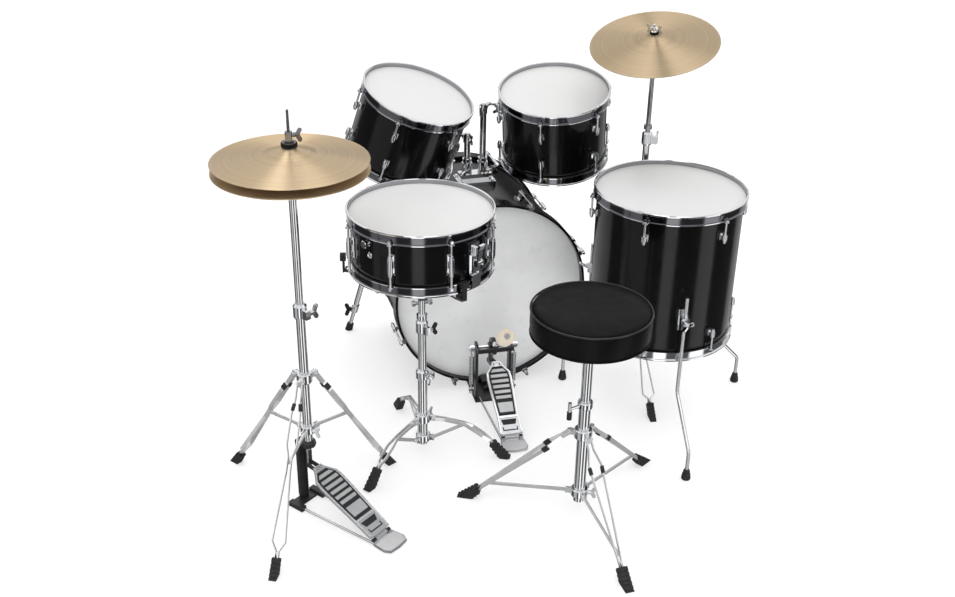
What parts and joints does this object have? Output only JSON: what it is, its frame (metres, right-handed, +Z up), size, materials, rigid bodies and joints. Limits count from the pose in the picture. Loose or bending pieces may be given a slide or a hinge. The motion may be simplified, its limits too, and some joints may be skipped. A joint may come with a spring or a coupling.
{
  "type": "acoustic drum kit",
  "caption": "Right-handed acoustic drum kit: bass drum with kick pedal, rack toms, floor tom, snare on a stand, hi-hat, crash on a folding stand and a round throne.",
  "frame": {"origin": "on the floor, under the middle of the kit's bounding box", "axes": "+Z up, +Y from the drummer's seat towards the audience along the bass drum's axis, +X to the drummer's right"},
  "size_m": [1.555, 1.4464, 1.0867],
  "materials": {
    "black_lacquer": "high gloss black",
    "drum_head": "glossy white film",
    "cymbal_bronze": "lathed",
    "black_metal": "satin black",
    "cast_aluminium": "satin",
    "black_vinyl": "semi-gloss vinyl",
    "spring_steel": "plated",
    "chrome": "polished"
  },
  "bodies": {
    "kit_base": {"bass_drum_shell": "black_lacquer", "bass_drum_hoops": "black_lacquer", "bass_drum_heads": "drum_head", "bass_drum_lugs": "chrome", "bass_drum_claws": "chrome", "bass_drum_fittings": "chrome", "floor_tom_shell": "black_lacquer", "floor_tom_heads": "drum_head", "floor_tom_hoops": "chrome", "floor_tom_lugs": "chrome", "floor_tom_leg_brackets": "chrome", "snare_stand_base": "chrome", "hihat_stand_base": "chrome", "hihat_pedal_frame": "black_metal", "crash_stand_base": "chrome", "throne_base": "chrome", "kick_pedal_frame": "black_metal", "kick_springs": "spring_steel"},
    "spur_left": {"spur_left": "chrome"},
    "spur_right": {"spur_right": "chrome"},
    "tom_post_left": {"tom_holder_post_left": "chrome"},
    "tom_post_right": {"tom_holder_post_right": "chrome"},
    "tom_1": {"tom_1_shell": "black_lacquer", "tom_1_heads": "drum_head", "tom_1_hoops": "chrome", "tom_1_lugs": "chrome", "tom_1_bracket": "chrome"},
    "tom_2": {"tom_2_shell": "black_lacquer", "tom_2_heads": "drum_head", "tom_2_hoops": "chrome", "tom_2_lugs": "chrome", "tom_2_bracket": "chrome"},
    "floor_tom_legs": {"floor_tom_legs": "chrome"},
    "snare_post": {"snare_stand_post": "chrome"},
    "snare_drum": {"snare_basket": "chrome", "snare_shell": "black_lacquer", "snare_heads": "drum_head", "snare_hoops": "chrome", "snare_lugs": "chrome", "snare_strainer": "chrome"},
    "throwoff_lever": {"snare_throwoff_lever": "chrome"},
    "hihat_upper": {"hihat_upper_tube": "chrome", "hihat_bottom_cymbal": "cymbal_bronze"},
    "hihat_rod": {"hihat_pull_rod": "chrome", "hihat_top_cymbal": "cymbal_bronze"},
    "hihat_footboard": {"hihat_footboard": "cast_aluminium"},
    "crash_upper": {"crash_upper_tube": "chrome"},
    "crash_tilter": {"crash_tilter": "chrome"},
    "crash_cymbal": {"crash_cymbal": "cymbal_bronze"},
    "crash_collar": {"crash_collar": "chrome"},
    "throne_post": {"throne_post": "chrome"},
    "throne_seat": {"throne_seat": "black_vinyl"},
    "kick_footboard": {"kick_footboard": "cast_aluminium"},
    "kick_beater": {"kick_beater": "chrome"},
    "crash_leg_1": {"crash_leg_1": "chrome"},
    "crash_brace_1": {"crash_brace_1": "chrome"},
    "crash_leg_2": {"crash_leg_2": "chrome"},
    "crash_brace_2": {"crash_brace_2": "chrome"},
    "crash_leg_3": {"crash_leg_3": "chrome"},
    "crash_brace_3": {"crash_brace_3": "chrome"}
  },
  "joints": [
    {"name": "spur_left_fold", "type": "hinge", "parent": "kit_base", "child": "spur_left", "pos_m": [-0.27534, 0.58894, 0.297], "axis": [-1, 0, 0], "range_deg": [0, 111]},
    {"name": "spur_right_fold", "type": "hinge", "parent": "kit_base", "child": "spur_right", "pos_m": [0.33146, 0.58894, 0.297], "axis": [-1, 0, 0], "range_deg": [0, 70]},
    {"name": "tom_1_swivel", "type": "hinge", "parent": "kit_base", "child": "tom_post_left", "pos_m": [0.01006, 0.48094, 0.62], "axis": [0, 0, 1], "range_deg": [-10, 10]},
    {"name": "tom_2_swivel", "type": "hinge", "parent": "kit_base", "child": "tom_post_right", "pos_m": [0.05806, 0.48094, 0.62], "axis": [0, 0, 1], "range_deg": [-10, 10]},
    {"name": "tom_1_tilt", "type": "hinge", "parent": "tom_post_left", "child": "tom_1", "pos_m": [-0.18541, 0.47922, 0.715], "axis": [0.8603, 0.5098, 0], "range_deg": [-12, 6]},
    {"name": "tom_2_tilt", "type": "hinge", "parent": "tom_post_right", "child": "tom_2", "pos_m": [0.25644, 0.42219, 0.8], "axis": [0.8435, -0.5372, 0], "range_deg": [-12, 10]},
    {"name": "floor_tom_leg_height", "type": "slide", "parent": "kit_base", "child": "floor_tom_legs", "axis": [0, 0, 1], "range_m": [0, 0.1]},
    {"name": "snare_height", "type": "slide", "parent": "kit_base", "child": "snare_post", "axis": [0, 0, 1], "range_m": [0, 0.1]},
    {"name": "snare_tilt", "type": "hinge", "parent": "snare_post", "child": "snare_drum", "pos_m": [-0.25494, -0.03006, 0.508], "axis": [1, 0, 0], "range_deg": [-10, 10]},
    {"name": "snare_throwoff", "type": "hinge", "parent": "snare_drum", "child": "throwoff_lever", "pos_m": [-0.15269, -0.2009, 0.645], "axis": [0.8581, 0.5135, 0], "range_deg": [0, 85]},
    {"name": "hihat_height", "type": "slide", "parent": "kit_base", "child": "hihat_upper", "axis": [0, 0, 1], "range_m": [-0.15, 0]},
    {"name": "hihat_footboard_press", "type": "hinge", "parent": "kit_base", "child": "hihat_footboard", "pos_m": [-0.44791, -0.37654, 0.012], "axis": [-0.7986, -0.6018, 0], "range_deg": [0, 4.37], "stiffness_Nm_per_rad": 20, "springref_deg": -20.05},
    {"name": "hihat_rod_pull", "type": "slide", "parent": "kit_base", "child": "hihat_rod", "axis": [0, 0, -1], "range_m": [0, 0.0184]},
    {"name": "crash_height", "type": "slide", "parent": "kit_base", "child": "crash_upper", "axis": [0, 0, 1], "range_m": [0, 0.15]},
    {"name": "crash_tilt", "type": "hinge", "parent": "crash_upper", "child": "crash_tilter", "pos_m": [0.47556, 0.24364, 1.0117], "axis": [0.7206, -0.6934, 0], "range_deg": [-16, 15]},
    {"name": "crash_spin", "type": "hinge", "parent": "crash_tilter", "child": "crash_cymbal", "pos_m": [0.47556, 0.24364, 1.0117], "axis": [-0.1957, -0.2034, 0.9593], "continuous": true},
    {"name": "crash_leg_1_fold", "type": "hinge", "parent": "kit_base", "child": "crash_leg_1", "pos_m": [0.47087, 0.21401, 0.24], "axis": [0.9877, -0.1564, 0], "range_deg": [0, 43.8]},
    {"name": "crash_leg_2_fold", "type": "hinge", "parent": "kit_base", "child": "crash_leg_2", "pos_m": [0.50357, 0.25439, 0.24], "axis": [-0.3584, 0.9336, 0], "range_deg": [0, 43.8]},
    {"name": "crash_leg_3_fold", "type": "hinge", "parent": "kit_base", "child": "crash_leg_3", "pos_m": [0.45225, 0.26252, 0.24], "axis": [-0.6293, -0.7771, 0], "range_deg": [0, 43.8]},
    {"name": "crash_collar_slide", "type": "slide", "parent": "kit_base", "child": "crash_collar", "axis": [0, 0, -1], "range_m": [0, 0.05785]},
    {"name": "crash_brace_1_fold", "type": "hinge", "parent": "crash_collar", "child": "crash_brace_1", "pos_m": [0.47087, 0.21401, 0.125], "axis": [-0.9877, 0.1564, 0], "range_deg": [0, 43.8]},
    {"name": "crash_brace_2_fold", "type": "hinge", "parent": "crash_collar", "child": "crash_brace_2", "pos_m": [0.50357, 0.25439, 0.125], "axis": [0.3584, -0.9336, 0], "range_deg": [0, 43.8]},
    {"name": "crash_brace_3_fold", "type": "hinge", "parent": "crash_collar", "child": "crash_brace_3", "pos_m": [0.45225, 0.26252, 0.125], "axis": [0.6293, 0.7771, 0], "range_deg": [0, 43.8]},
    {"name": "throne_height", "type": "slide", "parent": "kit_base", "child": "throne_post", "axis": [0, 0, 1], "range_m": [0, 0.1]},
    {"name": "throne_seat_spin", "type": "hinge", "parent": "throne_post", "child": "throne_seat", "pos_m": [0.06406, -0.40406, 0.503], "axis": [0, 0, 1], "continuous": true},
    {"name": "kick_footboard_press", "type": "hinge", "parent": "kit_base", "child": "kick_footboard", "pos_m": [-0.00423, -0.05864, 0.014], "axis": [-0.9982, 0.0593, 0], "range_deg": [0, 7.75], "stiffness_Nm_per_rad": 5, "springref_deg": -28.65},
    {"name": "kick_beater_swing", "type": "hinge", "parent": "kit_base", "child": "kick_beater", "pos_m": [0.01006, 0.18194, 0.175], "axis": [-0.9982, 0.0593, 0], "range_deg": [0, 76], "deforming": ["kick_springs"]}
  ],
  "couplings": [
    {"joint": "crash_leg_2_fold", "follows": "crash_leg_1_fold", "ratio": 1},
    {"joint": "crash_leg_3_fold", "follows": "crash_leg_1_fold", "ratio": 1},
    {"joint": "crash_collar_slide", "follows": "crash_leg_1_fold", "m_per_rad": 0.07528},
    {"joint": "crash_brace_1_fold", "follows": "crash_leg_1_fold", "ratio": 1},
    {"joint": "crash_brace_2_fold", "follows": "crash_leg_1_fold", "ratio": 1},
    {"joint": "crash_brace_3_fold", "follows": "crash_leg_1_fold", "ratio": 1},
    {"joint": "kick_beater_swing", "follows": "kick_footboard_press", "ratio": 9.8},
    {"joint": "hihat_rod_pull", "follows": "hihat_footboard_press", "m_per_rad": 0.24}
  ]
}
